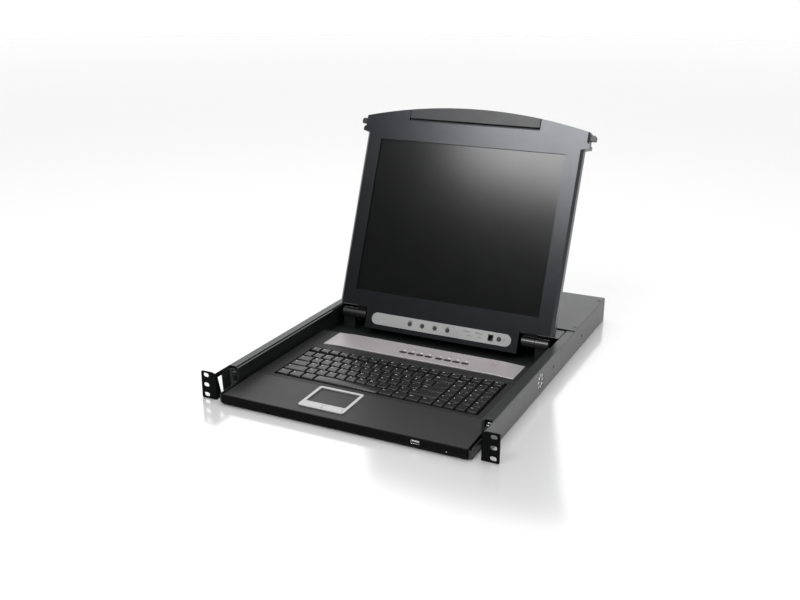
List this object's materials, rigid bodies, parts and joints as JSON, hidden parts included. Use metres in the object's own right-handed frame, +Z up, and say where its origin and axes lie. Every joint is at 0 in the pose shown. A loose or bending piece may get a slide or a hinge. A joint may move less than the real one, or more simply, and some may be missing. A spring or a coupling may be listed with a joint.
{
  "type": "rackmount lcd console drawer",
  "caption": "Rack drawer with a keyboard and touchpad on ball slides and a fold-up flat display with an arched handle and two latches; switch box at the back.",
  "frame": {"origin": "centre of the rack-hole pattern, in the plane where the ears seat on the rack rails", "axes": "+X to the user's right, +Y back into the rack, +Z up"},
  "size_m": [0.4826, 0.625, 0.3906],
  "materials": {
    "chassis_paint": "black satin powder coat",
    "zinc_steel": "zinc-plated, satin",
    "hinge_metal": "dark grey satin",
    "palm_plastic": "fine matte texture",
    "trim_plastic": "black, semi-gloss",
    "key_plastic": "matte black",
    "silver_plastic": "silver, satin",
    "pad_plastic": "dark grey, fine texture",
    "bezel_plastic": "slate grey, satin",
    "grip_plastic": "dark grey, satin",
    "screen": "clear, glossy",
    "panel": "near black",
    "inner_parts": "board and moulded parts",
    "black_parts": "black moulding",
    "screw_steel": "black zinc"
  },
  "bodies": {
    "chassis": {"side_channel_left": "chassis_paint", "side_channel_right": "chassis_paint", "rack_ear_left": "chassis_paint", "rack_ear_right": "chassis_paint", "rear_floor": "chassis_paint", "rear_cover": "chassis_paint", "rear_panel": "chassis_paint", "power_inlet": "black_parts", "rocker_housing": "black_parts", "computer_ports": "zinc_steel", "power_supply": "inner_parts", "switch_board": "inner_parts", "slide_outer_left": "zinc_steel", "slide_outer_right": "zinc_steel", "chassis_screws": "screw_steel"},
    "power_rocker": {"power_rocker": "black_parts"},
    "slide_middle_left": {"slide_middle_left": "zinc_steel", "ball_cage_left": "black_parts"},
    "slide_middle_right": {"slide_middle_right": "zinc_steel", "ball_cage_right": "black_parts"},
    "drawer": {"slide_inner_left": "zinc_steel", "slide_inner_right": "zinc_steel", "drawer_tray": "chassis_paint", "front_trim": "trim_plastic", "usb_port": "zinc_steel", "palm_rest": "palm_plastic", "touchpad_frame": "silver_plastic", "touchpad_surface": "pad_plastic", "key_plate": "zinc_steel", "key_frame": "palm_plastic", "control_strip": "silver_plastic", "hinge_cover": "chassis_paint", "hinge_brackets": "hinge_metal", "hinge_pins": "zinc_steel", "drawer_screws": "screw_steel"},
    "display": {"display_bezel": "bezel_plastic", "display_back_cover": "bezel_plastic", "screen_glass": "screen", "lcd_module": "panel", "display_board": "inner_parts", "osd_strip": "silver_plastic", "service_socket": "black_parts", "handle_grip": "grip_plastic", "hinge_leaves": "hinge_metal", "display_screws": "screw_steel"},
    "latch_left": {"latch_left": "grip_plastic"},
    "latch_right": {"latch_right": "grip_plastic"},
    "osd_button_1": {"osd_button_1": "black_parts"},
    "osd_button_2": {"osd_button_2": "black_parts"},
    "osd_button_3": {"osd_button_3": "black_parts"},
    "osd_button_4": {"osd_button_4": "black_parts"},
    "display_power_button": {"display_power_button": "black_parts"},
    "touchpad_button_left": {"touchpad_button_left": "silver_plastic"},
    "touchpad_button_right": {"touchpad_button_right": "silver_plastic"},
    "port_buttons": {"port_buttons": "key_plastic"},
    "space_bar": {"space_bar": "key_plastic"},
    "letter_keys": {"letter_keys": "key_plastic"},
    "number_keys": {"number_keys": "key_plastic"},
    "function_keys": {"function_keys": "key_plastic"},
    "pad_keys": {"pad_keys": "key_plastic"}
  },
  "joints": [
    {"name": "drawer_slide", "type": "slide", "parent": "chassis", "child": "drawer", "axis": [0, -1, 0], "range_m": [0, 0.38]},
    {"name": "slide_middle_left_slide", "type": "slide", "parent": "chassis", "child": "slide_middle_left", "axis": [0, -1, 0], "range_m": [0, 0.19]},
    {"name": "slide_middle_right_slide", "type": "slide", "parent": "chassis", "child": "slide_middle_right", "axis": [0, -1, 0], "range_m": [0, 0.19]},
    {"name": "display_hinge", "type": "hinge", "parent": "drawer", "child": "display", "pos_m": [0, 0.3579, 0.01115], "axis": [1, 0, 0], "range_deg": [-8, 111.4]},
    {"name": "power_rocker_turn", "type": "hinge", "parent": "chassis", "child": "power_rocker", "pos_m": [-0.14, 0.6045, -0.00085], "axis": [1, 0, 0], "range_deg": [0, 12]},
    {"name": "latch_left_slide", "type": "slide", "parent": "display", "child": "latch_left", "axis": [1, 0, 0], "range_m": [-0.002, 0.006], "stiffness_N_per_m": 300},
    {"name": "latch_right_slide", "type": "slide", "parent": "display", "child": "latch_right", "axis": [-1, 0, 0], "range_m": [-0.002, 0.006], "stiffness_N_per_m": 300},
    {"name": "osd_button_1_press", "type": "slide", "parent": "display", "child": "osd_button_1", "axis": [0, 0.9311, -0.3649], "range_m": [0, 0.0008], "stiffness_N_per_m": 600, "springref_m": -0.0003},
    {"name": "osd_button_2_press", "type": "slide", "parent": "display", "child": "osd_button_2", "axis": [0, 0.9311, -0.3649], "range_m": [0, 0.0008], "stiffness_N_per_m": 600, "springref_m": -0.0003},
    {"name": "osd_button_3_press", "type": "slide", "parent": "display", "child": "osd_button_3", "axis": [0, 0.9311, -0.3649], "range_m": [0, 0.0008], "stiffness_N_per_m": 600, "springref_m": -0.0003},
    {"name": "osd_button_4_press", "type": "slide", "parent": "display", "child": "osd_button_4", "axis": [0, 0.9311, -0.3649], "range_m": [0, 0.0008], "stiffness_N_per_m": 600, "springref_m": -0.0003},
    {"name": "display_power_button_press", "type": "slide", "parent": "display", "child": "display_power_button", "axis": [0, 0.9311, -0.3649], "range_m": [0, 0.0008], "stiffness_N_per_m": 600, "springref_m": -0.0003},
    {"name": "touchpad_button_left_press", "type": "slide", "parent": "drawer", "child": "touchpad_button_left", "axis": [0, 0, -1], "range_m": [0, 0.0008], "stiffness_N_per_m": 600, "springref_m": -0.0003},
    {"name": "touchpad_button_right_press", "type": "slide", "parent": "drawer", "child": "touchpad_button_right", "axis": [0, 0, -1], "range_m": [0, 0.0008], "stiffness_N_per_m": 600, "springref_m": -0.0003},
    {"name": "port_buttons_press", "type": "slide", "parent": "drawer", "child": "port_buttons", "axis": [0, 0, -1], "range_m": [0, 0.0006], "stiffness_N_per_m": 1500, "springref_m": -0.0003},
    {"name": "space_bar_press", "type": "slide", "parent": "drawer", "child": "space_bar", "axis": [0, 0, -1], "range_m": [0, 0.0022], "stiffness_N_per_m": 1000, "springref_m": -0.001},
    {"name": "letter_keys_press", "type": "slide", "parent": "drawer", "child": "letter_keys", "axis": [0, 0, -1], "range_m": [0, 0.0022], "stiffness_N_per_m": 3000, "springref_m": -0.001},
    {"name": "number_keys_press", "type": "slide", "parent": "drawer", "child": "number_keys", "axis": [0, 0, -1], "range_m": [0, 0.0022], "stiffness_N_per_m": 1500, "springref_m": -0.001},
    {"name": "function_keys_press", "type": "slide", "parent": "drawer", "child": "function_keys", "axis": [0, 0, -1], "range_m": [0, 0.0022], "stiffness_N_per_m": 1500, "springref_m": -0.001},
    {"name": "pad_keys_press", "type": "slide", "parent": "drawer", "child": "pad_keys", "axis": [0, 0, -1], "range_m": [0, 0.0022], "stiffness_N_per_m": 2000, "springref_m": -0.001}
  ],
  "couplings": [
    {"joint": "slide_middle_left_slide", "follows": "drawer_slide", "ratio": 0.5},
    {"joint": "slide_middle_right_slide", "follows": "drawer_slide", "ratio": 0.5}
  ]
}
